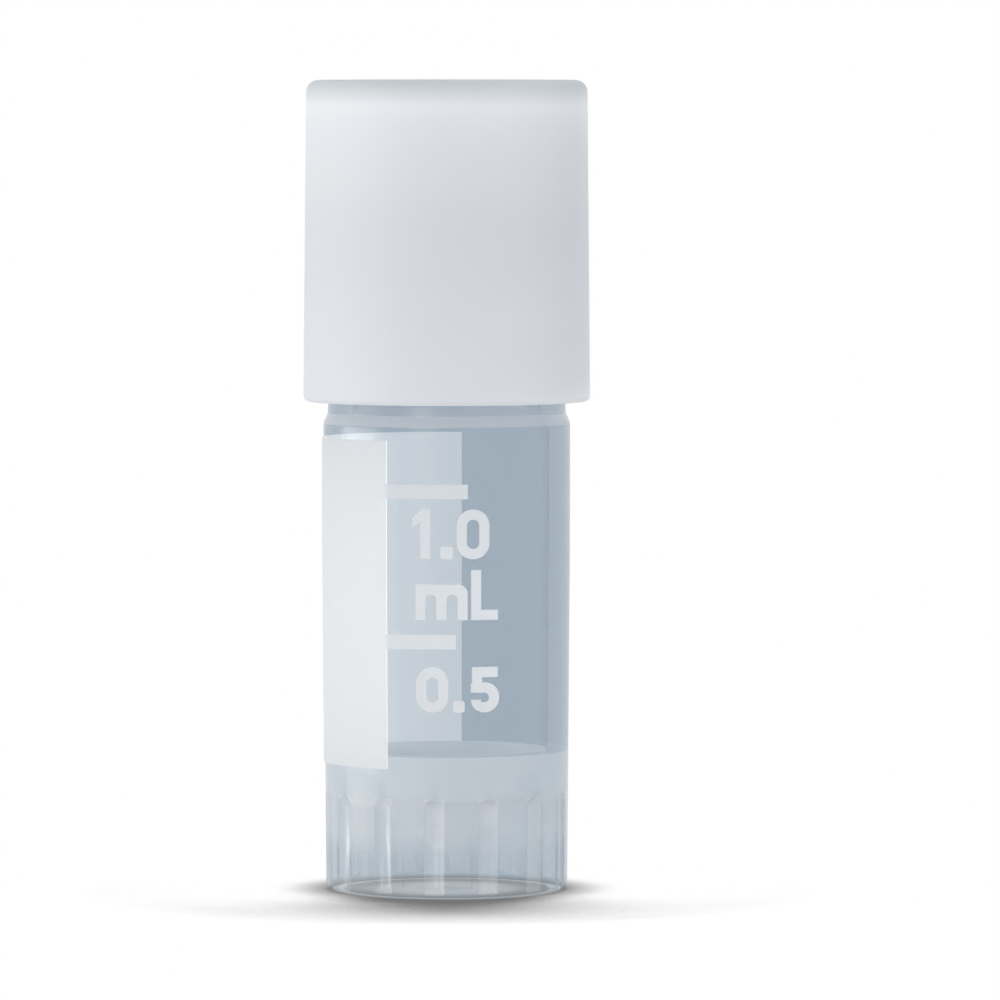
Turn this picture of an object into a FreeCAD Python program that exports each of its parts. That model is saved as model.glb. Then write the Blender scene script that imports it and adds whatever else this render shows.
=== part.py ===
import FreeCAD, Part
import math
import os

# A self-standing cryogenic sample vial with an external screw thread and a plain frosted cap.
# Units are millimetres.  Z is up, the foot stands on z = 0 and the vial's axis is the Z axis.
# The front, where the graduation is printed, faces -Y.

# ---------------------------------------------------------------- driving dimensions
TOTAL_HEIGHT = 38.1
CAP_DIAMETER = 13.5          # at the cap's lower edge
CAP_HEIGHT = 15.1
CAP_WALL = 1.1
BARREL_TOP_DIAMETER = 11.65  # just under the shoulder
BARREL_FOOT_DIAMETER = 11.4
BORE_TOP_DIAMETER = 9.65
BORE_FOOT_DIAMETER = 9.48
THREAD_LEAD = 3.0            # rise of the cap in one full turn
FLUTE_COUNT = 14

# ---------------------------------------------------------------- heights
CAP_BOTTOM_Z = TOTAL_HEIGHT - CAP_HEIGHT
COLLAR_TOP_Z = CAP_BOTTOM_Z + 0.35
SHOULDER_TOP_Z = CAP_BOTTOM_Z - 0.55
SHOULDER_Z = CAP_BOTTOM_Z - 1.0
GUIDE_BAND_Z = SHOULDER_Z - 6.0  # from here to the shoulder the barrel is straight, to seat in a hole
RIM_Z = TOTAL_HEIGHT - 5.5
WASHER_THICKNESS = 0.8
CEILING_Z = TOTAL_HEIGHT - CAP_WALL - 0.1
CONE_TOP_Z = 6.4             # where the bore's straight wall would meet the conical bottom

# ---------------------------------------------------------------- radii
BARREL_FOOT_R = BARREL_FOOT_DIAMETER / 2
BARREL_TOP_R = BARREL_TOP_DIAMETER / 2
BORE_FOOT_R = BORE_FOOT_DIAMETER / 2
BORE_TOP_R = BORE_TOP_DIAMETER / 2
CAP_FOOT_R = CAP_DIAMETER / 2
CAP_TOP_R = CAP_FOOT_R - 0.14
CAP_BORE_R = CAP_FOOT_R - CAP_WALL
COLLAR_R = CAP_BORE_R - 0.075
NECK_ROOT_R = 5.1
NECK_CREST_R = 5.5
NECK_BORE_R = 4.4
CAP_CREST_R = NECK_ROOT_R + 0.12
BEAD_R = CAP_CREST_R + 0.1   # the bead that keeps the washer in the cap
WASHER_OUTER_R = CAP_BORE_R - 0.15
WASHER_INNER_R = NECK_BORE_R - 0.8
PRESS_RING_OUTER_R = 4.95
PRESS_RING_INNER_R = 3.95

# ---------------------------------------------------------------- conical bottom and skirt
INNER_TIP_Z = 2.9
OUTER_TIP_Z = 1.85
INNER_TIP_R = 0.9            # flat spot at the tip, rounded into the cone
OUTER_TIP_R = 0.6
OUTER_CONE_SLOPE = 0.76      # rise for each millimetre of radius
CONE_FILLET = 1.1            # inside, between the conical bottom and the bore
SKIRT_WALL = 1.0
FLUTE_WIDTH = 0.95
FLUTE_DEPTH = 0.28
FLUTE_LEDGE_Z = 0.5          # where a flute's floor meets the ledge below it
FLUTE_LEDGE_SLOPE = 1.2      # fall of the ledge for each millimetre outwards
FLUTE_TOP_Z = 4.65
FLUTE_FIRST_ANGLE = -95.9    # one flute stands just left of the front
RIB_HEIGHT = 0.3             # inner ribs that keep the wall behind the flutes

# ---------------------------------------------------------------- threads
NECK_THREAD_START_Z = CAP_BOTTOM_Z + 2.5
NECK_THREAD_TURNS = 1.9
NECK_THREAD_START_ANGLE = 0.0
CAP_THREAD_TURNS = 1.6
THREAD_ROOT_WIDTH = 1.25
THREAD_CREST_WIDTH = 0.65
THREAD_SINK = 0.15           # how far a ridge is rooted in its wall
FLANK_GAP = 0.08             # axial gap between the loaded flanks

# ---------------------------------------------------------------- printed ink
INK = 0.05
PATCH_BOTTOM_Z = 6.05
PATCH_TOP_Z = 21.34
PATCH_START_ANGLE = 82.9     # counter-clockwise from +X, seen from above
PATCH_SWEEP = 158.4
TICK_HEIGHT = 0.68
FULL_MARK_Z = 18.99
HALF_MARK_Z = 12.0
FULL_TICK_END_X = 0.98
HALF_TICK_END_X = 0.43
STROKE = 0.47

Y_AXIS = FreeCAD.Vector(0, 1, 0)
Z_AXIS = FreeCAD.Vector(0, 0, 1)
ORIGIN = FreeCAD.Vector(0, 0, 0)


# ---------------------------------------------------------------- helpers
def barrel_radius(z):
    """Outer radius of the barrel at height z: drafted up to the guide band, and straight along it."""
    return BARREL_FOOT_R + (BARREL_TOP_R - BARREL_FOOT_R) * min(z / GUIDE_BAND_Z, 1)


def rounded_wire(corners):
    """Closed wire in the XZ plane through (x, z, fillet radius) corners."""
    count = len(corners)
    joints = []
    for index in range(count):
        x, z, radius = corners[index]
        here = FreeCAD.Vector(x, 0, z)
        if radius == 0:
            joints.append((here, here, None))
            continue
        before = corners[index - 1]
        after = corners[(index + 1) % count]
        to_before = (FreeCAD.Vector(before[0], 0, before[1]) - here).normalize()
        to_after = (FreeCAD.Vector(after[0], 0, after[1]) - here).normalize()
        half_angle = to_before.getAngle(to_after) / 2
        setback = radius / math.tan(half_angle)
        start = here + to_before * setback
        end = here + to_after * setback
        bisector = (to_before + to_after).normalize()
        middle = here + bisector * (radius / math.sin(half_angle) - radius)
        joints.append((start, end, middle))
    edges = []
    for index in range(count):
        start, end, middle = joints[index]
        if middle is not None:
            edges.append(Part.Arc(start, middle, end).toShape())
        following = joints[(index + 1) % count][0]
        if end.distanceToPoint(following) > 1e-7:
            edges.append(Part.makeLine(end, following))
    return Part.Wire(edges)


def revolved(corners):
    """Solid of revolution about Z of a rounded profile."""
    return Part.Face(rounded_wire(corners)).revolve(ORIGIN, Z_AXIS, 360)


def sector(start_angle, sweep, low_z, high_z, radius=20.0):
    """Pie-shaped solid about Z that selects a range of angles and heights."""
    pie = Part.makeCylinder(radius, high_z - low_z, FreeCAD.Vector(0, 0, low_z), Z_AXIS, sweep)
    pie.rotate(ORIGIN, Z_AXIS, start_angle)
    return pie


def helical_ridge(root_r, crest_r, start_z, start_angle, turns):
    """Right-handed trapezoid ridge, rooted a little inside the wall it stands on."""
    outward = 1 if crest_r > root_r else -1
    rooted_r = root_r - outward * THREAD_SINK
    half_root = THREAD_ROOT_WIDTH / 2
    half_crest = THREAD_CREST_WIDTH / 2
    profile = [
        (rooted_r, -half_root),
        (root_r, -half_root),
        (crest_r, -half_crest),
        (crest_r, half_crest),
        (root_r, half_root),
        (rooted_r, half_root),
    ]
    points = [FreeCAD.Vector(r, 0, z) for r, z in profile]
    section = Part.makePolygon(points + [points[0]])
    helix = Part.makeHelix(THREAD_LEAD, turns * THREAD_LEAD, root_r)
    ridge = Part.Wire(helix).makePipeShell([section], True, True)
    ridge.translate(FreeCAD.Vector(0, 0, start_z))
    ridge.rotate(ORIGIN, Z_AXIS, start_angle)
    return ridge


# ---------------------------------------------------------------- the tube
def upright_prism(corners, half_width):
    """Prism of an outline in the XZ plane, as wide to both sides of it."""
    points = [FreeCAD.Vector(x, -half_width, z) for x, z in corners]
    side = Part.Face(Part.makePolygon(points + [points[0]]))
    return side.extrude(Y_AXIS * (2 * half_width))


def neck_thread():
    """External thread whose two ends are planed down to the neck."""
    ridge = helical_ridge(NECK_ROOT_R, NECK_CREST_R, NECK_THREAD_START_Z,
                          NECK_THREAD_START_ANGLE, NECK_THREAD_TURNS)
    plane_width = 2 * NECK_CREST_R
    plane_depth = NECK_CREST_R
    plane_height = THREAD_LEAD * 0.6
    for turns in (0, NECK_THREAD_TURNS):
        end_z = NECK_THREAD_START_Z + turns * THREAD_LEAD
        corner = FreeCAD.Vector(NECK_ROOT_R - 0.02, -plane_width / 2, end_z - plane_height / 2)
        planer = Part.makeBox(plane_depth, plane_width, plane_height, corner)
        planer.rotate(ORIGIN, Z_AXIS, NECK_THREAD_START_ANGLE + turns * 360)
        ridge = ridge.cut(planer)
    return ridge


def flute_cutter():
    """One external flute: a round-bottomed slot with a ball end above and a sloping ledge below."""
    cutter_r = (FLUTE_WIDTH ** 2 / 4 + FLUTE_DEPTH ** 2) / (2 * FLUTE_DEPTH)
    floor_r = barrel_radius(FLUTE_LEDGE_Z) - FLUTE_DEPTH
    axis_r = floor_r + cutter_r
    ball_z = FLUTE_TOP_Z - FLUTE_WIDTH / 2
    slot = Part.makeCylinder(cutter_r, ball_z, FreeCAD.Vector(axis_r, 0, 0), Z_AXIS)
    ball = Part.makeSphere(cutter_r, FreeCAD.Vector(axis_r, 0, ball_z))
    inside = floor_r - 0.1
    outside = axis_r + cutter_r
    below = -FLUTE_TOP_Z
    ledge = [
        (inside, below),
        (inside, FLUTE_LEDGE_Z + (floor_r - inside) * FLUTE_LEDGE_SLOPE),
        (outside, FLUTE_LEDGE_Z - (outside - floor_r) * FLUTE_LEDGE_SLOPE),
        (outside, below),
    ]
    return slot.fuse(ball).cut(upright_prism(ledge, cutter_r))


def skirt_rib(inner_r, top_z):
    """Rib on the inside of the skirt, behind one flute, that runs up to the conical bottom."""
    corner = FreeCAD.Vector(inner_r - RIB_HEIGHT, -FLUTE_WIDTH / 2, FLUTE_LEDGE_Z)
    return Part.makeBox(RIB_HEIGHT + SKIRT_WALL / 2, FLUTE_WIDTH, top_z - FLUTE_LEDGE_Z, corner)


def vial_body():
    """Neck, shoulder, barrel, conical bottom and skirt, moulded in one."""
    skirt_r = BARREL_FOOT_R - SKIRT_WALL
    skirt_top_z = OUTER_TIP_Z + (skirt_r - OUTER_TIP_R) * OUTER_CONE_SLOPE
    body = revolved([
        (0, OUTER_TIP_Z, 0),
        (OUTER_TIP_R, OUTER_TIP_Z, 1.0),
        (skirt_r, skirt_top_z, 0.5),
        (skirt_r, 0, 0.15),
        (BARREL_FOOT_R, 0, 0.3),
        (BARREL_TOP_R, GUIDE_BAND_Z, 0),
        (BARREL_TOP_R, SHOULDER_Z, 0.5),
        (COLLAR_R + 0.03, SHOULDER_TOP_Z, 0.12),
        (COLLAR_R, COLLAR_TOP_Z, 0.12),
        (NECK_ROOT_R, COLLAR_TOP_Z + 0.2, 0.12),
        (NECK_ROOT_R, RIM_Z, 0.2),
        (NECK_BORE_R, RIM_Z, 0.2),
        (NECK_BORE_R, SHOULDER_TOP_Z + 0.1, 0.6),
        (BORE_TOP_R, SHOULDER_Z - 0.4, 0.6),
        (BORE_FOOT_R, CONE_TOP_Z, CONE_FILLET),
        (INNER_TIP_R, INNER_TIP_Z, 1.0),
        (0, INNER_TIP_Z, 0),
    ])
    pitch = 360.0 / FLUTE_COUNT
    for index in range(FLUTE_COUNT):
        angle = FLUTE_FIRST_ANGLE + index * pitch
        flute = flute_cutter()
        flute.rotate(ORIGIN, Z_AXIS, angle)
        rib = skirt_rib(skirt_r, skirt_top_z)
        rib.rotate(ORIGIN, Z_AXIS, angle)
        body = body.fuse(rib).cut(flute)
    return body.fuse(neck_thread()).removeSplitter()


# ---------------------------------------------------------------- the cap
def cap_thread():
    """Internal thread that hangs just under the neck's thread, faded out at both ends."""
    mean_width = (THREAD_ROOT_WIDTH + THREAD_CREST_WIDTH) / 2
    start_z = NECK_THREAD_START_Z - mean_width - FLANK_GAP
    ridge = helical_ridge(CAP_BORE_R, CAP_CREST_R, start_z, NECK_THREAD_START_ANGLE, CAP_THREAD_TURNS)
    mill_offset = 2.05
    mill_r = CAP_BORE_R + 0.02 - mill_offset
    mill_height = THREAD_LEAD * 0.6
    for turns in (0, CAP_THREAD_TURNS):
        end_z = start_z + turns * THREAD_LEAD
        centre = FreeCAD.Vector(mill_offset, 0, end_z - mill_height / 2)
        mill = Part.makeCylinder(mill_r, mill_height, centre, Z_AXIS)
        mill.rotate(ORIGIN, Z_AXIS, NECK_THREAD_START_ANGLE + turns * 360)
        ridge = ridge.cut(mill)
    return ridge


def screw_cap():
    """Closed cap with a thread, a washer bead and the ring that presses the washer."""
    washer_top_z = RIM_Z + WASHER_THICKNESS
    bead_z = RIM_Z - 0.45
    cap = revolved([
        (CAP_BORE_R + 0.2, CAP_BOTTOM_Z, 0.08),
        (CAP_FOOT_R, CAP_BOTTOM_Z, 0.28),
        (CAP_TOP_R, TOTAL_HEIGHT, 0.57),
        (0, TOTAL_HEIGHT, 0),
        (0, CEILING_Z, 0),
        (PRESS_RING_INNER_R, CEILING_Z, 0.3),
        (PRESS_RING_INNER_R, washer_top_z, 0.15),
        (PRESS_RING_OUTER_R, washer_top_z, 0.15),
        (PRESS_RING_OUTER_R, CEILING_Z, 0.2),
        (CAP_BORE_R, CEILING_Z, 0.2),
        (CAP_BORE_R, bead_z + 0.35, 0.1),
        (BEAD_R, bead_z, 0.1),
        (CAP_BORE_R, bead_z - 0.45, 0.1),
        (CAP_BORE_R, CAP_BOTTOM_Z + 0.3, 0.1),
    ])
    return cap.fuse(cap_thread()).removeSplitter()


def sealing_washer():
    """Soft ring between the tube's rim and the cap's pressing ring."""
    top_z = RIM_Z + WASHER_THICKNESS
    return revolved([
        (WASHER_INNER_R, RIM_Z, 0.12),
        (WASHER_OUTER_R, RIM_Z, 0.12),
        (WASHER_OUTER_R, top_z, 0.12),
        (WASHER_INNER_R, top_z, 0.12),
    ])


# ---------------------------------------------------------------- the printed ink
def ink_skin():
    """Thin skin over the barrel from which every printed mark is taken."""
    low_z = PATCH_BOTTOM_Z
    high_z = PATCH_TOP_Z
    return revolved([
        (barrel_radius(low_z), low_z, 0),
        (barrel_radius(low_z) + INK, low_z, 0),
        (BARREL_TOP_R + INK, GUIDE_BAND_Z, 0),
        (BARREL_TOP_R + INK, high_z, 0),
        (BARREL_TOP_R, high_z, 0),
        (BARREL_TOP_R, GUIDE_BAND_Z, 0),
    ])


def bar(left, right, low, high):
    """Upright rectangle facing the front, as a prism through the front of the barrel."""
    return Part.makeBox(right - left, BARREL_TOP_R + 1, high - low,
                        FreeCAD.Vector(left, -BARREL_TOP_R - 1, low))


def outline(corners):
    """Prism of a rounded outline facing the front."""
    face = Part.Face(rounded_wire(corners))
    face.translate(FreeCAD.Vector(0, -BARREL_TOP_R - 1, 0))
    return face.extrude(Y_AXIS * (BARREL_TOP_R + 1))


def zero(left, right, low, high):
    """Tall ring with round ends."""
    outer_r = (right - left) / 2 * 0.98
    inner_left = left + STROKE
    inner_right = right - STROKE
    inner_r = (inner_right - inner_left) / 2 * 0.98
    corners = [(left, low), (right, low), (right, high), (left, high)]
    hole = [(inner_left, low + STROKE), (inner_right, low + STROKE),
            (inner_right, high - STROKE), (inner_left, high - STROKE)]
    ring = outline([(x, z, outer_r) for x, z in corners])
    return ring.cut(outline([(x, z, inner_r) for x, z in hole]))


def one(left, right, low, high):
    """Upright stem with a slanted flag."""
    stem = right - STROKE
    return outline([
        (stem, low, 0),
        (right, low, 0),
        (right, high, 0),
        (stem + 0.05, high, 0),
        (left, high - 0.42, 0),
        (left, high - 0.85, 0),
        (stem, high - 0.6, 0),
    ])


def five(left, right, low, high):
    """Flat top, short stem and an open bowl."""
    bowl_top = low + (high - low) * 0.66
    bowl = outline([
        (left, low, 0.62),
        (right, low, 0.66),
        (right, bowl_top, 0.66),
        (left, bowl_top, 0.1),
    ])
    hollow_r = (bowl_top - low - 2 * STROKE) * 0.48
    hollow = outline([
        (left - 0.2, low + STROKE, 0),
        (right - STROKE, low + STROKE, hollow_r),
        (right - STROKE, bowl_top - STROKE, hollow_r),
        (left - 0.2, bowl_top - STROKE, 0),
    ])
    hook = bar(left, left + STROKE, low + 0.25, low + STROKE + 0.12)
    stem = bar(left + 0.05, left + 0.05 + STROKE, bowl_top - STROKE, high)
    top = bar(left + 0.05, right - 0.06, high - STROKE, high)
    return bowl.cut(hollow).fuse([hook.common(bowl), stem, top]).removeSplitter()


def letter_m(left, right, low, high):
    """Three stems under two round arches."""
    gap = (right - left - 3 * STROKE) / 2
    block = outline([
        (left, low, 0),
        (right, low, 0),
        (right, high, 0.45),
        (left, high, 0.08),
    ])
    for index in range(2):
        inner = left + STROKE + index * (gap + STROKE)
        block = block.cut(outline([
            (inner, low - 0.1, 0),
            (inner + gap, low - 0.1, 0),
            (inner + gap, high - STROKE, gap * 0.45),
            (inner, high - STROKE, gap * 0.45),
        ]))
    return block


def letter_l(left, right, low, high):
    """Stem on a foot."""
    return bar(left, left + STROKE, low, high).fuse(bar(left, right, low, low + STROKE)).removeSplitter()


def dot(left, right, low):
    """Square decimal point with rounded corners."""
    side = right - left
    corners = [(left, low), (right, low), (right, low + side), (left, low + side)]
    return outline([(x, z, 0.12) for x, z in corners])


def white_print():
    """Writing patch, two level ticks and the plain graduation numerals."""
    patch = sector(PATCH_START_ANGLE, PATCH_SWEEP, PATCH_BOTTOM_Z, PATCH_TOP_Z)
    patch_edge = math.radians(PATCH_START_ANGLE + PATCH_SWEEP)
    edge_x = barrel_radius(FULL_MARK_Z) * math.cos(patch_edge)
    half = TICK_HEIGHT / 2
    field = patch.fuse([
        bar(edge_x - 0.2, FULL_TICK_END_X, FULL_MARK_Z - half, FULL_MARK_Z + half),
        bar(edge_x - 0.2, HALF_TICK_END_X, HALF_MARK_Z - half, HALF_MARK_Z + half),
    ])
    marks = [
        field,
        one(-1.62, -0.77, 15.87, 18.17),
        dot(-0.3, 0.28, 15.87),
        zero(0.46, 1.98, 15.87, 18.17),
        letter_m(-1.46, 0.97, 13.03, 14.69),
        letter_l(1.13, 2.38, 13.03, 15.36),
        zero(-1.42, 0.07, 8.73, 10.84),
        dot(0.29, 0.83, 8.73),
        five(1.12, 2.43, 8.73, 10.84),
    ]
    skin = ink_skin()
    return Part.makeCompound([skin.common(mark).removeSplitter() for mark in marks])


os.makedirs("parts", exist_ok=True)
NODES = {
    "vial_body": vial_body,
    "screw_cap": screw_cap,
    "sealing_washer": sealing_washer,
    "white_print": white_print,
}
for node, make in NODES.items():
    shape = make()
    print(node, "valid", shape.isValid(), "solids", len(shape.Solids), "volume", round(shape.Volume, 2))
    shape.exportStep(os.path.join("parts", node + ".step"))
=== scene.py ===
import math

import bmesh
import bpy
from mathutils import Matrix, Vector


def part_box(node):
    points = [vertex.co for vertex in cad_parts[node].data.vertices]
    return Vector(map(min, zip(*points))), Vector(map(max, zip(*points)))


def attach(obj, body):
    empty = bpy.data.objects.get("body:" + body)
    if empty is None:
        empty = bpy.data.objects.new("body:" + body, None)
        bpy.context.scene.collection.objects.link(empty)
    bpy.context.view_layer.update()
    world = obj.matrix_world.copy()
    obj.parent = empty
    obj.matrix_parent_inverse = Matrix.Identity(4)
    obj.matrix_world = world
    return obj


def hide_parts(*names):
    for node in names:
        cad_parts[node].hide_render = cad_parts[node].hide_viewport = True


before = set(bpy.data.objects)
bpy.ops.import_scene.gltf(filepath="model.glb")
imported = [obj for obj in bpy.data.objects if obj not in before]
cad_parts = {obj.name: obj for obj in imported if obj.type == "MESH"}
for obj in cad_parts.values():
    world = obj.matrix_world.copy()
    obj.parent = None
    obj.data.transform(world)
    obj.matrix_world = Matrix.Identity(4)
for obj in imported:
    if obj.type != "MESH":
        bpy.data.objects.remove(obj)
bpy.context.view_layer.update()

# The frame is in metres.  Small dimensions are written in millimetres and multiplied by MM.
MM = 0.001
TAU = 2 * math.pi

# ------------------------------------------------------------------ sizes, some read from the frame
body_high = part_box("vial_body")[1]
cap_low, cap_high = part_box("screw_cap")
washer_low, washer_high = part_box("sealing_washer")
print_low, print_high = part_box("white_print")

CAP_BOTTOM = cap_low.z
CAP_TOP = cap_high.z
RIM = body_high.z
PATCH_BOTTOM = print_low.z
PATCH_TOP = print_high.z
CAP_FOOT_R = 6.75 * MM
CAP_TOP_R = CAP_FOOT_R - 0.14 * MM
CAP_BORE_R = CAP_FOOT_R - 1.1 * MM
CEILING = CAP_TOP - 1.2 * MM     # underside of the cap's closed top
WASHER_BEAD = RIM - 0.45 * MM    # middle of the bead that keeps the washer in the cap
PRINT_BED = 0.02 * MM            # the drawn barrel is this much slimmer, so that the ink lies on it
BARREL_FOOT_R = 5.7 * MM - PRINT_BED
BARREL_TOP_R = 5.825 * MM - PRINT_BED
BORE_FOOT_R = 4.74 * MM
BORE_TOP_R = 4.825 * MM
NECK_ROOT_R = 5.1 * MM
NECK_CREST_R = 5.5 * MM
NECK_BORE_R = 4.4 * MM
COLLAR_R = CAP_BORE_R - 0.075 * MM
SKIRT_BORE_R = BARREL_FOOT_R - 1.0 * MM
SHOULDER = CAP_BOTTOM - 1.0 * MM
SHOULDER_TOP = CAP_BOTTOM - 0.55 * MM
COLLAR_TOP = CAP_BOTTOM + 0.35 * MM
GUIDE_BAND = SHOULDER - 6.0 * MM  # from here up to the shoulder the barrel is straight
CONE_TOP = 6.4 * MM
FROST_TOP = 6.62 * MM            # where the milky bottom begins to show on the outside
THICK_FOOT = 3.2 * MM            # the plastic is milkiest from here up and clears down to the next height
THIN_SKIRT = 1.5 * MM
INNER_TIP = 2.9 * MM
OUTER_TIP = 1.85 * MM
SKIRT_TOP = OUTER_TIP + (SKIRT_BORE_R - 0.6 * MM) * 0.76

THREAD_LEAD = 3.0 * MM
THREAD_ROOT_WIDTH = 1.25 * MM
THREAD_CREST_WIDTH = 0.65 * MM
THREAD_FADE = 22 / 360           # of a turn, at each end of a thread
NECK_THREAD_START = CAP_BOTTOM + 2.5 * MM
NECK_THREAD_TURNS = 1.9
CAP_THREAD_START = NECK_THREAD_START - 1.03 * MM
CAP_THREAD_TURNS = 1.6
CAP_CREST_R = NECK_ROOT_R + 0.12 * MM

FLUTE_COUNT = 14
FLUTE_WIDTH = 0.95 * MM
FLUTE_DEPTH = 0.28 * MM
FLUTE_CUTTER_R = (FLUTE_WIDTH ** 2 / 4 + FLUTE_DEPTH ** 2) / (2 * FLUTE_DEPTH)
FLUTE_LEDGE = 0.5 * MM           # where a flute's floor meets the ledge below it
FLUTE_LEDGE_SLOPE = 1.2          # fall of the ledge for each unit outwards
FLUTE_TOP = 4.65 * MM
FLUTE_BALL = FLUTE_TOP - FLUTE_WIDTH / 2
FLUTE_FIRST = math.radians(-95.9)
RIB_HEIGHT = 0.3 * MM
RIB_EDGE = 0.05 * MM             # width over which a rib's side wall rises

PATCH_START = math.radians(82.9)  # the writing patch's two edges, counter-clockwise from +X
PATCH_END = math.radians(241.3)
HARD_EDGE = math.radians(50)     # faces that meet at more than this are shaded with a crease

# ------------------------------------------------------------------ camera
CAMERA_DISTANCE = 0.380
CAMERA_HEIGHT = 0.0362
CAMERA_PITCH = math.radians(-2.69)
LENS = 290.8
FRAMING_SHIFT = 0.0532

# ------------------------------------------------------------------ colours, linear
CAP_COLOUR = (0.905, 0.92, 0.95)
# painted shade: the darker colour given to the cap's thick top plate for the light that it holds back
PLATE_SHADE_COLOUR = (0.68, 0.72, 0.74)
INK_COLOUR = (0.98, 0.985, 0.99)
WASHER_COLOUR = (0.72, 0.72, 0.70)
WALL_TINT = (0.595, 0.645, 0.69)
BORE_TINT = (0.98, 0.98, 0.98)
FOOT_TINT = (0.595, 0.67, 0.725)
# veil of the flute faces, lighter than the wall's as part of their painted brightening
FLUTE_TINT = (0.70, 0.75, 0.79)
HAZE_COLOUR = (0.42, 0.65, 0.87)
FROST_COLOUR = (0.80, 0.83, 0.87)
SOLID_COLOUR = (0.94, 0.955, 0.97)
WHITE = (1.0, 1.0, 1.0)
LAMP_COLOUR = (1.0, 0.95, 0.90)
SKY_COLOUR = (0.97, 0.99, 1.0)
FLOOR_COLOUR = (0.8, 0.8, 0.8)
GLOSS_COLOUR = (0.8, 0.8, 0.8)

# ------------------------------------------------------------------ plastic and light
PLASTIC_IOR = 1.49
LIGHT_LET_IN = 0.55              # share of the light that a clear wall passes on to what stands inside
CAP_GLOW = 0.45                  # share of the cap's light that comes through it from the far side
INK_GLOW = 0.9
SKY_LEVEL = 0.98                 # brightness of the world level with the object; 1 is white
SKY_LEAN = (0.04, 0.25, -0.25)   # the world is a little stronger on this side
SHADE_REACH = 12 * MM            # how far from the object the floor's painted shadow reaches
CONTACT_REACH = 3 * MM
RING_LIGHT = 0.34                # painted least light on the floor within the foot ring
OPEN_LIGHT = 0.18                # painted least light on the floor outside it


# ------------------------------------------------------------------ outlines
def rounded(corners, arc_steps=6, closed=False):
    """Points of an outline of (radius, height, fillet) corners, each fillet drawn as a short arc."""
    points = []
    count = len(corners)
    for index in range(count):
        radius, height, fillet = corners[index]
        here = Vector((radius, height))
        if fillet == 0 or (not closed and index in (0, count - 1)):
            points.append(here)
            continue
        before = corners[index - 1]
        after = corners[(index + 1) % count]
        to_before = (Vector(before[:2]) - here).normalized()
        to_after = (Vector(after[:2]) - here).normalized()
        half_angle = to_before.angle(to_after) / 2
        setback = fillet / math.tan(half_angle)
        centre = here + (to_before + to_after).normalized() * (fillet / math.sin(half_angle))
        start = here + to_before * setback - centre
        end = here + to_after * setback - centre
        turn = start.angle(end)
        for step in range(arc_steps + 1):
            share = step / arc_steps
            first = math.sin((1 - share) * turn) / math.sin(turn)
            second = math.sin(share * turn) / math.sin(turn)
            points.append(centre + start * first + end * second)
    return points


def with_rows(points, low, high, step):
    """The same outline with extra points on its steep stretches between two heights."""
    dense = [points[0]]
    for here, there in zip(points, points[1:]):
        rise = abs(there.y - here.y)
        inside = min(here.y, there.y) < high and max(here.y, there.y) > low
        pieces = max(1, round(rise / step)) if inside else 1
        for piece in range(1, pieces + 1):
            dense.append(here.lerp(there, piece / pieces))
    return dense


def with_heights(points, heights, beyond=0.0):
    """The same rising outline with a point added at each height, on its wall beyond a radius."""
    dense = list(points)
    for height in heights:
        at = next(i for i in range(len(dense) - 1)
                  if dense[i].y < height <= dense[i + 1].y and dense[i].x > beyond)
        if dense[at + 1].y - height > 1e-7 and height - dense[at].y > 1e-7:
            share = (height - dense[at].y) / (dense[at + 1].y - dense[at].y)
            dense.insert(at + 1, dense[at].lerp(dense[at + 1], share))
    return dense


def smooth_step(share):
    """0 to 1 with a soft start and end."""
    share = min(max(share, 0.0), 1.0)
    return share * share * (3 - 2 * share)


# ------------------------------------------------------------------ turned meshes
def turned(name, rows, columns, place, slot_of, materials, closed=False):
    """Mesh turned about Z.  place(row index, angle) gives (radius, height); a radius of 0 is a pole."""
    mesh = bpy.data.meshes.new(name)
    work = bmesh.new()
    grid = []
    for index in range(len(rows)):
        if rows[index].x < 1e-9:
            grid.append([work.verts.new((0, 0, rows[index].y))] * len(columns))
            continue
        ring = []
        for angle in columns:
            radius, height = place(index, angle)
            ring.append(work.verts.new((radius * math.cos(angle), radius * math.sin(angle), height)))
        grid.append(ring)
    pairs = list(zip(range(len(rows)), range(1, len(rows))))
    if closed:
        pairs.append((len(rows) - 1, 0))
    for low, high in pairs:
        for left in range(len(columns)):
            right = (left + 1) % len(columns)
            corners = [grid[low][left], grid[low][right], grid[high][right], grid[high][left]]
            face = work.faces.new(list(dict.fromkeys(corners)))
            face.smooth = True
            face.material_index = slot_of(low, high, columns[left])
    bmesh.ops.recalc_face_normals(work, faces=work.faces)
    for edge in work.edges:
        if len(edge.link_faces) == 2 and edge.calc_face_angle(0) > HARD_EDGE:
            edge.smooth = False
    work.to_mesh(mesh)
    work.free()
    for material in materials:
        mesh.materials.append(material)
    piece = bpy.data.objects.new(name, mesh)
    bpy.context.scene.collection.objects.link(piece)
    return piece


def even_columns(count):
    """Column angles that stand evenly round the axis."""
    return [TAU * index / count for index in range(count)]


def flute_columns():
    """Column angles that are dense across the flutes and land on the patch's two edges."""
    half = FLUTE_WIDTH / 2
    land = TAU / FLUTE_COUNT * BARREL_FOOT_R - FLUTE_WIDTH
    across = [-1, -0.96, -0.85, -0.65, -0.35, 0, 0.35, 0.65, 0.85, 0.96, 1]
    offsets = [half * share for share in across] + [-half - RIB_EDGE, half + RIB_EDGE]
    land_steps = 7
    for step in range(1, land_steps):
        offsets.append(half + RIB_EDGE + (land - 2 * RIB_EDGE) * step / land_steps)
    angles = [PATCH_START, PATCH_END]
    for flute in range(FLUTE_COUNT):
        centre = FLUTE_FIRST + TAU * flute / FLUTE_COUNT
        for offset in offsets:
            angle = (centre + offset / BARREL_FOOT_R) % TAU
            if min(abs(angle - PATCH_START), abs(angle - PATCH_END)) > math.radians(0.15):
                angles.append(angle)
    return sorted(angles)


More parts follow.
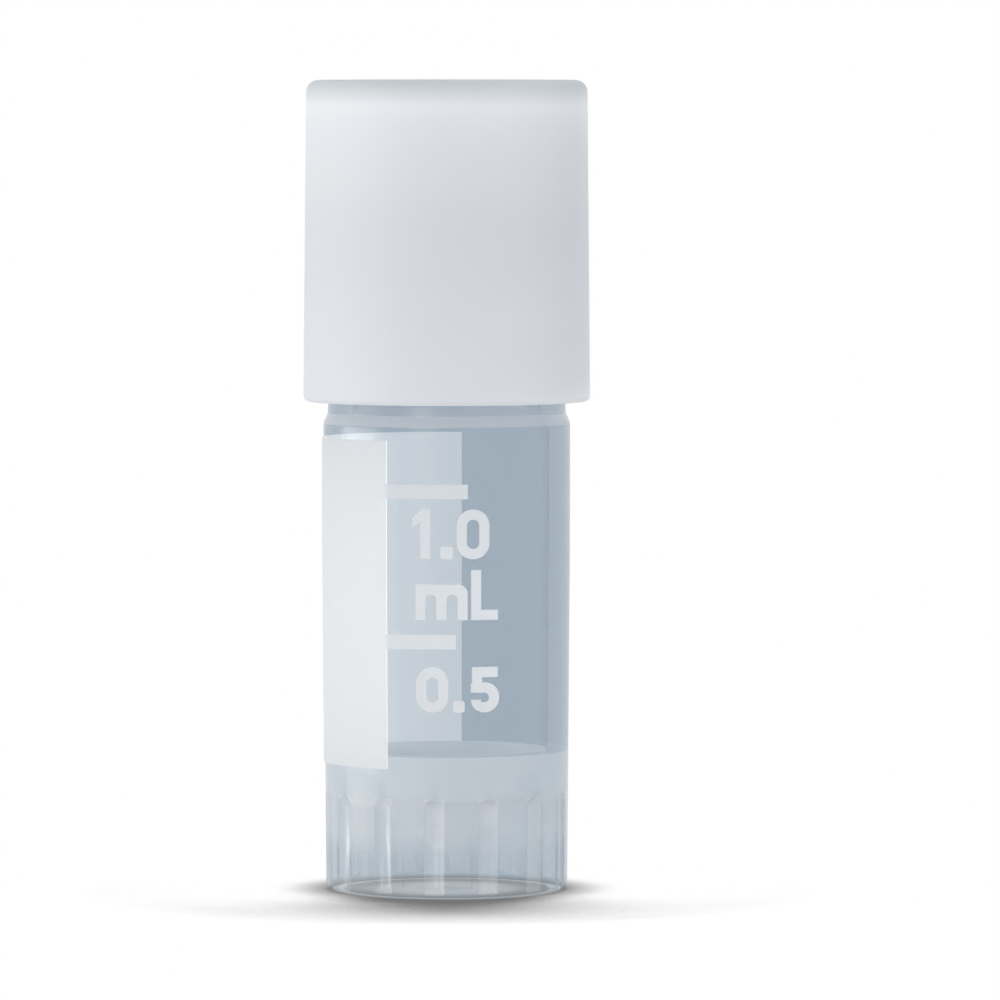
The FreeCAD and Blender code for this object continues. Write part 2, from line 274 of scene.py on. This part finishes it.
def flute_offset(angle):
    """Distance round the barrel from the middle of the nearest flute."""
    pitch = TAU / FLUTE_COUNT
    return abs((angle - FLUTE_FIRST + pitch / 2) % pitch - pitch / 2) * BARREL_FOOT_R


def rib_share(angle):
    """1 on a rib behind a flute, 0 between two ribs, and a steep ramp at the side walls."""
    return 1 - smooth_step((flute_offset(angle) - FLUTE_WIDTH / 2) / RIB_EDGE)


def flute_depth(angle, height):
    """Depth of the round-bottomed slots, with their ball ends above and sloping ledges below."""
    above = max(0.0, height - FLUTE_BALL)
    left_over = FLUTE_CUTTER_R ** 2 - flute_offset(angle) ** 2 - above ** 2
    if left_over <= 0:
        return 0.0
    depth = math.sqrt(left_over) - (FLUTE_CUTTER_R - FLUTE_DEPTH)
    ledge = FLUTE_DEPTH - max(0.0, FLUTE_LEDGE - height) / FLUTE_LEDGE_SLOPE
    return max(0.0, min(depth, ledge))


def ridge_height(angle, height, start, turns):
    """0 to 1 across a right-handed trapezoid thread ridge that fades out at its two ends."""
    best = 0.0
    half_root = THREAD_ROOT_WIDTH / 2
    half_crest = THREAD_CREST_WIDTH / 2
    turn = (angle / TAU) % 1.0
    while turn <= turns:
        offset = abs(height - start - turn * THREAD_LEAD)
        flank = smooth_step((half_root - offset) / (half_root - half_crest))
        fade = smooth_step(turn / THREAD_FADE) * smooth_step((turns - turn) / THREAD_FADE)
        best = max(best, flank * fade)
        turn += 1.0
    return best


# ------------------------------------------------------------------ materials
def new_material(name):
    """Material with an empty node tree."""
    material = bpy.data.materials.new(name)
    material.use_nodes = True
    material.node_tree.nodes.clear()
    return material


def add(tree, kind, **settings):
    """New node with some of its own settings changed."""
    made = tree.nodes.new(kind)
    for key, value in settings.items():
        setattr(made, key, value)
    return made


def mixed(tree, factor, first, second):
    """Mix Shader of two shader outputs; factor is a number or an output."""
    mix = add(tree, "ShaderNodeMixShader")
    if isinstance(factor, (int, float)):
        mix.inputs[0].default_value = factor
    else:
        tree.links.new(factor, mix.inputs[0])
    tree.links.new(first, mix.inputs[1])
    tree.links.new(second, mix.inputs[2])
    return mix.outputs["Shader"]


def combined(tree, operation, first, second):
    """Output of a Math node; each of its two values is a number or an output."""
    made = add(tree, "ShaderNodeMath", operation=operation)
    for socket, value in zip(made.inputs, (first, second)):
        if isinstance(value, (int, float)):
            socket.default_value = value
        else:
            tree.links.new(value, socket)
    return made.outputs[0]


def finish_surface(tree, shader):
    """Join a shader to the material's output."""
    output = add(tree, "ShaderNodeOutputMaterial")
    tree.links.new(shader, output.inputs["Surface"])


def colour4(colour):
    """The colour with full opacity, as the sockets want it."""
    return (*colour, 1.0)


def mottled(tree, colour, scale, amount, seed=0.0):
    """A colour that varies a little over the surface, in object space."""
    place = add(tree, "ShaderNodeTexCoord")
    noise = add(tree, "ShaderNodeTexNoise", noise_dimensions="4D")
    noise.inputs["Scale"].default_value = scale
    noise.inputs["Detail"].default_value = 4.0
    noise.inputs["W"].default_value = seed
    tree.links.new(place.outputs["Object"], noise.inputs["Vector"])
    ramp = add(tree, "ShaderNodeMix", data_type="RGBA")
    dark = tuple(channel * (1 - amount) for channel in colour)
    light = tuple(min(1.0, channel * (1 + amount)) for channel in colour)
    ramp.inputs["A"].default_value = colour4(dark)
    ramp.inputs["B"].default_value = colour4(light)
    tree.links.new(noise.outputs["Fac"], ramp.inputs["Factor"])
    return ramp.outputs["Result"]


def fine_bump(tree, scale, distance, strength):
    """Normal of a fine moulded grain."""
    place = add(tree, "ShaderNodeTexCoord")
    noise = add(tree, "ShaderNodeTexNoise")
    noise.inputs["Scale"].default_value = scale
    noise.inputs["Detail"].default_value = 3.0
    tree.links.new(place.outputs["Object"], noise.inputs["Vector"])
    bump = add(tree, "ShaderNodeBump")
    bump.inputs["Strength"].default_value = strength
    bump.inputs["Distance"].default_value = distance
    tree.links.new(noise.outputs["Fac"], bump.inputs["Height"])
    return bump.outputs["Normal"]


def by_height(tree, low, high, at_low, at_high):
    """A value that goes softly from one number to another between two heights of the object."""
    place = add(tree, "ShaderNodeTexCoord")
    height = add(tree, "ShaderNodeSeparateXYZ")
    tree.links.new(place.outputs["Object"], height.inputs["Vector"])
    ramp = add(tree, "ShaderNodeMapRange", interpolation_type="SMOOTHSTEP")
    ramp.inputs["From Min"].default_value = low
    ramp.inputs["From Max"].default_value = high
    ramp.inputs["To Min"].default_value = at_low
    ramp.inputs["To Max"].default_value = at_high
    tree.links.new(height.outputs["Z"], ramp.inputs["Value"])
    return ramp.outputs["Result"]


def light_rays(tree):
    """1 for the rays that carry light about, 0 for those that show the object itself or mirrored."""
    path = add(tree, "ShaderNodeLightPath")
    direct = combined(tree, "MAXIMUM", path.outputs["Is Camera Ray"], path.outputs["Is Glossy Ray"])
    return combined(tree, "SUBTRACT", 1.0, direct)


def leaving_rays(tree):
    """1 for light that is inside a thin layer and on its way out, so that it scatters there once."""
    geometry = add(tree, "ShaderNodeNewGeometry")
    return combined(tree, "MULTIPLY", light_rays(tree), geometry.outputs["Backfacing"])


def open_to(tree, rays, shader):
    """The same shader, but clear to some rays."""
    passing = add(tree, "ShaderNodeBsdfTransparent")
    return mixed(tree, rays, shader, passing.outputs["BSDF"])


def frosted_cap_material():
    """Milky cap plastic with a soft, fine grain; its thick top plate lets less light through, which is
    painted as a darker colour towards the top.
    """
    material = new_material("frosted_cap_plastic")
    tree = material.node_tree
    # painted shade: the colour goes over to the darker plate colour across the top plate's thickness
    plate = by_height(tree, CAP_TOP - 1.4 * MM, CAP_TOP - 0.2 * MM, 0.0, 1.0)
    colour = add(tree, "ShaderNodeMix", data_type="RGBA")
    colour.inputs["B"].default_value = colour4(PLATE_SHADE_COLOUR)
    tree.links.new(plate, colour.inputs["Factor"])
    tree.links.new(mottled(tree, CAP_COLOUR, 220, 0.02), colour.inputs["A"])
    shader = add(tree, "ShaderNodeBsdfPrincipled")
    tree.links.new(colour.outputs["Result"], shader.inputs["Base Color"])
    shader.inputs["Roughness"].default_value = 0.55
    shader.inputs["Specular IOR Level"].default_value = 0.25
    tree.links.new(fine_bump(tree, 4000, 0.01 * MM, 0.25), shader.inputs["Normal"])
    glow = add(tree, "ShaderNodeBsdfTranslucent")
    tree.links.new(colour.outputs["Result"], glow.inputs["Color"])
    plastic = mixed(tree, CAP_GLOW, shader.outputs["BSDF"], glow.outputs["BSDF"])
    finish_surface(tree, open_to(tree, leaving_rays(tree), plastic))
    return material


def ink_material():
    """Matt white ink, a little uneven, that glows when light falls through it."""
    material = new_material("white_ink")
    tree = material.node_tree
    shader = add(tree, "ShaderNodeBsdfPrincipled")
    tree.links.new(mottled(tree, INK_COLOUR, 600, 0.015, 3.0), shader.inputs["Base Color"])
    shader.inputs["Roughness"].default_value = 0.65
    tree.links.new(fine_bump(tree, 5000, 0.006 * MM, 0.3), shader.inputs["Normal"])
    glow = add(tree, "ShaderNodeBsdfTranslucent")
    glow.inputs["Color"].default_value = colour4(INK_COLOUR)
    ink = mixed(tree, INK_GLOW, shader.outputs["BSDF"], glow.outputs["BSDF"])
    finish_surface(tree, open_to(tree, leaving_rays(tree), ink))
    return material


def washer_material():
    """Soft, matt sealing silicone."""
    material = new_material("soft_seal")
    tree = material.node_tree
    shader = add(tree, "ShaderNodeBsdfPrincipled")
    tree.links.new(mottled(tree, WASHER_COLOUR, 500, 0.03, 5.0), shader.inputs["Base Color"])
    shader.inputs["Roughness"].default_value = 0.7
    tree.links.new(fine_bump(tree, 6000, 0.01 * MM, 0.4), shader.inputs["Normal"])
    finish_surface(tree, shader.outputs["BSDF"])
    return material


def front_gloss(tree):
    """Share of light mirrored by a face towards the air; none from inside the plastic."""
    fresnel = add(tree, "ShaderNodeFresnel")
    fresnel.inputs["IOR"].default_value = PLASTIC_IOR
    geometry = add(tree, "ShaderNodeNewGeometry")
    outer_side = combined(tree, "SUBTRACT", 1.0, geometry.outputs["Backfacing"])
    return combined(tree, "MULTIPLY", fresnel.outputs["Fac"], outer_side)


def clear_wall(name, tint, haze=0.0, haze_colour=WHITE, rim_haze=None, glow=0.0,
               light_let_in=LIGHT_LET_IN, glossy=True):
    """Face of a moulded wall that veils what is seen through it.

    haze is the share of milk in the plastic, which falls to rim_haze where the thick foot gets thin.
    glow is the part of the milk that is lit from behind.
    light_let_in is the share of the light that goes on through to what stands inside.
    """
    material = new_material(name)
    tree = material.node_tree
    wall = add(tree, "ShaderNodeBsdfTransparent")
    wall.inputs["Color"].default_value = colour4(tint)
    wall = wall.outputs["BSDF"]
    if haze > 0:
        milk = add(tree, "ShaderNodeBsdfPrincipled")
        tree.links.new(mottled(tree, haze_colour, 400, 0.03, 7.0), milk.inputs["Base Color"])
        milk.inputs["Roughness"].default_value = 0.4
        milk.inputs["Specular IOR Level"].default_value = 0.0
        tree.links.new(fine_bump(tree, 3000, 0.004 * MM, 0.2), milk.inputs["Normal"])
        milk = milk.outputs["BSDF"]
        if glow > 0:
            lit_behind = add(tree, "ShaderNodeBsdfTranslucent")
            lit_behind.inputs["Color"].default_value = colour4(haze_colour)
            milk = mixed(tree, glow, milk, lit_behind.outputs["BSDF"])
        if rim_haze is not None:
            haze = by_height(tree, THIN_SKIRT, THICK_FOOT, rim_haze, haze)
        wall = mixed(tree, haze, wall, milk)
    if glossy:
        mirror = add(tree, "ShaderNodeBsdfGlossy")
        mirror.inputs["Color"].default_value = colour4(GLOSS_COLOUR)
        mirror.inputs["Roughness"].default_value = 0.25
        wall = mixed(tree, front_gloss(tree), wall, mirror.outputs["BSDF"])
    if light_let_in > 0:
        wall = open_to(tree, combined(tree, "MULTIPLY", light_rays(tree), light_let_in), wall)
    finish_surface(tree, wall)
    return material


# ------------------------------------------------------------------ the tube
OUTER_WALL, INNER_WALL, UNDER_INK, BOTTOM, SOLID_FOOT, NECK, SHOULDER_HIGHLIGHT_RING, FLUTES = range(8)


def tube_outline():
    """Half section of the tube, from the cone's underside round the foot and rim to the inner tip."""
    return rounded([
        (0, OUTER_TIP, 0),
        (0.6 * MM, OUTER_TIP, 1.0 * MM),
        (SKIRT_BORE_R, SKIRT_TOP, 0.5 * MM),
        (SKIRT_BORE_R, 0, 0.15 * MM),
        (BARREL_FOOT_R, 0, 0.3 * MM),
        (BARREL_TOP_R, GUIDE_BAND, 0),
        (BARREL_TOP_R, SHOULDER, 0.5 * MM),
        (COLLAR_R + 0.03 * MM, SHOULDER_TOP, 0.12 * MM),
        (COLLAR_R, COLLAR_TOP, 0.12 * MM),
        (NECK_ROOT_R, COLLAR_TOP + 0.2 * MM, 0.12 * MM),
        (NECK_ROOT_R, RIM, 0.2 * MM),
        (NECK_BORE_R, RIM, 0.2 * MM),
        (NECK_BORE_R, SHOULDER_TOP + 0.1 * MM, 0.6 * MM),
        (BORE_TOP_R, SHOULDER - 0.4 * MM, 0.6 * MM),
        (BORE_FOOT_R, CONE_TOP, 1.1 * MM),
        (0.9 * MM, INNER_TIP, 1.0 * MM),
        (0, INNER_TIP, 0),
    ])


def make_tube():
    """Threaded tube with its skirt, in one closed mesh that replaces the plain solid."""
    outline = tube_outline()
    foot = next(i for i, p in enumerate(outline) if p.y < 1e-9 and p.x > SKIRT_BORE_R + 0.3 * MM)
    rim = max(range(len(outline)), key=lambda i: outline[i].y)
    underside = with_rows(outline[:foot + 1], FLUTE_LEDGE, SKIRT_TOP - 0.6 * MM, 0.2 * MM)
    outside = with_rows(outline[foot:rim + 1], COLLAR_TOP + 0.4 * MM, RIM - 0.3 * MM, 0.09 * MM)
    ledge_low = FLUTE_LEDGE - FLUTE_DEPTH * FLUTE_LEDGE_SLOPE
    ledge_rows = [ledge_low + (FLUTE_LEDGE - ledge_low) * step / 5 for step in range(6)]
    ball_height = FLUTE_TOP - FLUTE_BALL
    ball_rows = [FLUTE_BALL + ball_height * math.sin(step / 10 * TAU / 4) for step in range(11)]
    edge_rows = [PATCH_BOTTOM, FROST_TOP, PATCH_TOP]
    outside = with_heights(outside, ledge_rows + ball_rows + edge_rows, beyond=NECK_CREST_R)
    inside = with_heights(outline[:rim - 1:-1], [FROST_TOP, PATCH_TOP])[::-1]
    rows = underside[:-1] + outside + inside[1:]
    first_outside = len(underside) - 1
    last_outside = first_outside + len(outside) - 1

    def place(index, angle):
        """Ribs on the skirt's inside, flutes on its outside and the thread on the neck."""
        radius, height = rows[index]
        if index < first_outside:
            on_skirt = radius > SKIRT_BORE_R - 0.01 * MM and height > FLUTE_LEDGE
            return radius - (RIB_HEIGHT * rib_share(angle) if on_skirt else 0), height
        if index > last_outside:
            return radius, height
        if height < FLUTE_TOP:
            slope = (BARREL_TOP_R - BARREL_FOOT_R) / GUIDE_BAND
            return min(radius, BARREL_FOOT_R + slope * height - flute_depth(angle, height)), height
        if height > COLLAR_TOP + 0.3 * MM and radius > NECK_ROOT_R - 0.01 * MM:
            lift = ridge_height(angle, height, NECK_THREAD_START, NECK_THREAD_TURNS)
            return radius + (NECK_CREST_R - NECK_ROOT_R) * lift, height
        return radius, height

    def slot_of(low, high, angle):
        """Material of the face between two rows."""
        middle = (rows[low] + rows[high]) / 2
        inked = PATCH_START - 1e-6 <= angle < PATCH_END - 1e-6 and PATCH_BOTTOM < middle.y < PATCH_TOP
        if low >= last_outside:
            if middle.y < FROST_TOP:
                return BOTTOM
            return UNDER_INK if inked else INNER_WALL
        if low < first_outside:
            under_cone = middle.x < SKIRT_BORE_R - 0.05 * MM and middle.y > OUTER_TIP / 2
            return BOTTOM if under_cone else INNER_WALL
        if inked:
            return UNDER_INK
        if middle.y > COLLAR_TOP:
            return NECK
        # painted highlight: a milky band round the shoulder
        if SHOULDER - 0.05 * MM < middle.y < SHOULDER_TOP + 0.05 * MM:
            return SHOULDER_HIGHLIGHT_RING
        if FLUTE_LEDGE / 2 < middle.y < FLUTE_TOP and flute_offset(angle + 1e-4) < FLUTE_WIDTH / 2:
            return FLUTES
        return SOLID_FOOT if middle.y < FROST_TOP else OUTER_WALL

    materials = [
        clear_wall("clear_polypropylene", WALL_TINT, 0.08, HAZE_COLOUR),
        clear_wall("clear_inner_wall", BORE_TINT),
        clear_wall("wall_under_ink", WHITE),
        clear_wall("frosted_bottom", WHITE, 0.92, SOLID_COLOUR, glow=0.5, glossy=False),
        clear_wall("solid_foot", FOOT_TINT, 0.42, FROST_COLOUR, rim_haze=0.16),
        clear_wall("neck_wall", WALL_TINT, 0.4, FROST_COLOUR, light_let_in=0.4),
        # painted highlight: the shoulder band is milkier than the wall so that it reads as a bright line
        clear_wall("shoulder_ring_painted_highlight", WALL_TINT, 0.3, FROST_COLOUR),
        # partly painted brightening: the flute faces carry more milk than the wall so that they read as
        # bright streaks, and the lamps light that milk, brightest where a flute's side faces left
        clear_wall("flute_faces_painted_bright", FLUTE_TINT, 0.47, FROST_COLOUR, rim_haze=0.28),
    ]
    tube = turned("tube", rows, flute_columns(), place, slot_of, materials)
    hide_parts("vial_body")
    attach(tube, "vial")
    return tube


# ------------------------------------------------------------------ the cap
def cap_outline():
    """Half section of the cap, from its top round the lower edge to the ceiling."""
    washer_top = washer_high.z
    return rounded([
        (0, CAP_TOP, 0),
        (CAP_TOP_R, CAP_TOP, 0.57 * MM),
        (CAP_FOOT_R, CAP_BOTTOM, 0.28 * MM),
        (CAP_BORE_R + 0.2 * MM, CAP_BOTTOM, 0.08 * MM),
        (CAP_BORE_R, CAP_BOTTOM + 0.3 * MM, 0.1 * MM),
        (CAP_BORE_R, WASHER_BEAD - 0.45 * MM, 0.1 * MM),
        (CAP_CREST_R + 0.1 * MM, WASHER_BEAD, 0.1 * MM),
        (CAP_BORE_R, WASHER_BEAD + 0.35 * MM, 0.1 * MM),
        (CAP_BORE_R, CEILING, 0.2 * MM),
        (4.95 * MM, CEILING, 0.2 * MM),
        (4.95 * MM, washer_top, 0.15 * MM),
        (3.95 * MM, washer_top, 0.15 * MM),
        (3.95 * MM, CEILING, 0.3 * MM),
        (0, CEILING, 0),
    ])


def make_cap():
    """Closed cap with its inner thread, in one closed mesh that replaces the plain solid."""
    outline = cap_outline()
    mouth = min(range(len(outline)), key=lambda i: outline[i].y)
    outside = outline[:mouth + 1]
    thread_end = WASHER_BEAD - 0.5 * MM
    inside = with_rows(outline[mouth:], CAP_BOTTOM + 0.5 * MM, thread_end, 0.1 * MM)
    rows = outside + inside[1:]
    first_inside = len(outside) - 1

    def place(index, angle):
        """The thread on the cap's inside."""
        radius, height = rows[index]
        threaded = CAP_BOTTOM + 0.4 * MM < height < thread_end
        if index > first_inside and threaded:
            lift = ridge_height(angle, height, CAP_THREAD_START, CAP_THREAD_TURNS)
            return radius - (CAP_BORE_R - CAP_CREST_R) * lift, height
        return radius, height

    materials = [frosted_cap_material()]
    cap = turned("cap_shell", rows, even_columns(192), place, lambda *_: 0, materials)
    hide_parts("screw_cap")
    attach(cap, "cap")
    return cap


def make_washer():
    """Flat ring with softened edges, in one closed mesh that replaces the plain solid."""
    inner = 3.6 * MM
    outer = 5.5 * MM
    edge = 0.12 * MM
    rows = rounded([
        (inner, washer_low.z, edge),
        (outer, washer_low.z, edge),
        (outer, washer_high.z, edge),
        (inner, washer_high.z, edge),
    ], closed=True)
    washer = turned("washer_ring", rows, even_columns(128), lambda i, _: rows[i], lambda *_: 0,
                    [washer_material()], closed=True)
    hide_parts("sealing_washer")
    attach(washer, "washer")
    return washer


def dress_print():
    """Ink on the frame's own printed node."""
    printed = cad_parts["white_print"]
    printed.data.materials.clear()
    printed.data.materials.append(ink_material())


# ------------------------------------------------------------------ stage
def background_rays(tree):
    """1 for the rays that see the white background: direct, mirrored or through glass."""
    path = add(tree, "ShaderNodeLightPath")
    either = combined(tree, "MAXIMUM", path.outputs["Is Camera Ray"], path.outputs["Is Glossy Ray"])
    return combined(tree, "MAXIMUM", either, path.outputs["Is Transmission Ray"])


def openness(tree, distance, x, y, z):
    """How clear the half sphere round a direction is of anything nearer than a distance, 0 to 1."""
    near = add(tree, "ShaderNodeAmbientOcclusion", samples=12)
    near.inputs["Distance"].default_value = distance
    towards = add(tree, "ShaderNodeCombineXYZ")
    for socket, value in zip(towards.inputs, (x, y, z)):
        socket.default_value = value
    tree.links.new(towards.outputs["Vector"], near.inputs["Normal"])
    return near.outputs["AO"]


def floor_shade(tree):
    """Painted shadow on the floor, worked out from occlusion tests as if under light from above and
    behind: it hugs the foot and falls forwards.
    """
    front = openness(tree, SHADE_REACH, 0, -1, 0.6)
    back = openness(tree, SHADE_REACH, 0, 1, 0.6)
    left = openness(tree, SHADE_REACH, -1, 0, 0.6)
    right = openness(tree, SHADE_REACH, 1, 0, 0.6)
    forwards = combined(tree, "SUBTRACT", front, back)
    sideways = combined(tree, "ABSOLUTE", combined(tree, "SUBTRACT", left, right), 0)
    thrown = combined(tree, "SUBTRACT", forwards, combined(tree, "MULTIPLY", sideways, 0.75))
    lit = combined(tree, "SUBTRACT", 1.02, combined(tree, "MAXIMUM", thrown, 0.02))
    contact = combined(tree, "POWER", openness(tree, CONTACT_REACH, 0, 0, 1), 2.0)
    shade = combined(tree, "MULTIPLY", contact, combined(tree, "POWER", lit, 4.7))
    return combined(tree, "MINIMUM", combined(tree, "MULTIPLY", shade, 1.15), 1.0)


def light_through_skirt(tree):
    """Painted least light on the floor: more within the foot ring, painted for the light that comes
    through the clear skirt.
    """
    position = add(tree, "ShaderNodeNewGeometry")
    radius = add(tree, "ShaderNodeVectorMath", operation="LENGTH")
    tree.links.new(position.outputs["Position"], radius.inputs[0])
    ring = add(tree, "ShaderNodeMapRange")
    ring.inputs["From Min"].default_value = BARREL_FOOT_R - 0.35 * MM
    ring.inputs["From Max"].default_value = BARREL_FOOT_R + 0.1 * MM
    ring.inputs["To Min"].default_value = RING_LIGHT
    ring.inputs["To Max"].default_value = OPEN_LIGHT
    tree.links.new(radius.outputs["Value"], ring.inputs["Value"])
    return ring.outputs["Result"]


def make_floor():
    """White floor with the object's shadow painted on it."""
    material = new_material("floor_white")
    tree = material.node_tree
    white = add(tree, "ShaderNodeEmission")
    level = combined(tree, "MAXIMUM", floor_shade(tree), light_through_skirt(tree))
    tree.links.new(level, white.inputs["Color"])
    diffuse = add(tree, "ShaderNodeBsdfDiffuse")
    diffuse.inputs["Color"].default_value = colour4(FLOOR_COLOUR)
    surface = mixed(tree, background_rays(tree), diffuse.outputs["BSDF"], white.outputs["Emission"])
    finish_surface(tree, surface)
    half = 1.5
    corners = [(-half, -half, 0), (half, -half, 0), (half, half, 0), (-half, half, 0)]
    mesh = bpy.data.meshes.new("floor")
    mesh.from_pydata(corners, [], [(0, 1, 2, 3)])
    floor = bpy.data.objects.new("floor", mesh)
    mesh.materials.append(material)
    bpy.context.scene.collection.objects.link(floor)


def make_world():
    """Even studio light, a little stronger from behind, from below and from the right."""
    world = bpy.data.worlds.new("studio")
    bpy.context.scene.world = world
    world.use_nodes = True
    tree = world.node_tree
    tree.nodes.clear()
    direction = add(tree, "ShaderNodeTexCoord")
    lean = add(tree, "ShaderNodeVectorMath", operation="DOT_PRODUCT")
    lean.inputs[1].default_value = SKY_LEAN
    tree.links.new(direction.outputs["Generated"], lean.inputs[0])
    level = add(tree, "ShaderNodeMath", operation="ADD")
    level.inputs[1].default_value = SKY_LEVEL
    tree.links.new(lean.outputs["Value"], level.inputs[0])
    soft = add(tree, "ShaderNodeBackground")
    soft.inputs["Color"].default_value = colour4(SKY_COLOUR)
    tree.links.new(level.outputs[0], soft.inputs["Strength"])
    white = add(tree, "ShaderNodeBackground")
    white.inputs["Color"].default_value = colour4(WHITE)
    output = add(tree, "ShaderNodeOutputWorld")
    shader = mixed(tree, background_rays(tree), soft.outputs["Background"], white.outputs["Background"])
    tree.links.new(shader, output.inputs["Surface"])


def make_lamp(name, place, target, size, strength):
    """Rectangular softbox; strength is the brightness of its face, where 1 is white."""
    light = bpy.data.lights.new(name, "AREA")
    light.shape = "RECTANGLE"
    light.size, light.size_y = size
    light.energy = strength * math.pi * light.size * light.size_y
    light.color = LAMP_COLOUR
    lamp = bpy.data.objects.new(name, light)
    lamp.location = place
    lamp.rotation_euler = (Vector(target) - Vector(place)).to_track_quat("-Z", "Y").to_euler()
    bpy.context.scene.collection.objects.link(lamp)


def make_camera():
    """Long lens level with the cap, from the front."""
    data = bpy.data.cameras.new("camera")
    data.lens = LENS
    data.sensor_width = 36.0
    data.shift_x = FRAMING_SHIFT
    data.clip_start = 0.01
    camera = bpy.data.objects.new("camera", data)
    camera.location = (0, -CAMERA_DISTANCE, CAMERA_HEIGHT)
    camera.rotation_euler = (math.pi / 2 + CAMERA_PITCH, 0, 0)
    bpy.context.scene.collection.objects.link(camera)
    bpy.context.scene.camera = camera


make_camera()
make_world()
make_floor()
make_lamp("left_strip", (-0.26, 0.0, 0.0065), (0, 0, 0.0065), (0.20, 0.012), 22.0)
make_lamp("front_softbox", (-0.20, -0.46, 0.12), (0, 0, 0.02), (0.20, 0.20), 3.5)
make_tube()
make_cap()
make_washer()
dress_print()

scene = bpy.context.scene
scene.view_settings.view_transform = "Standard"
scene.cycles.transparent_max_bounces = 24
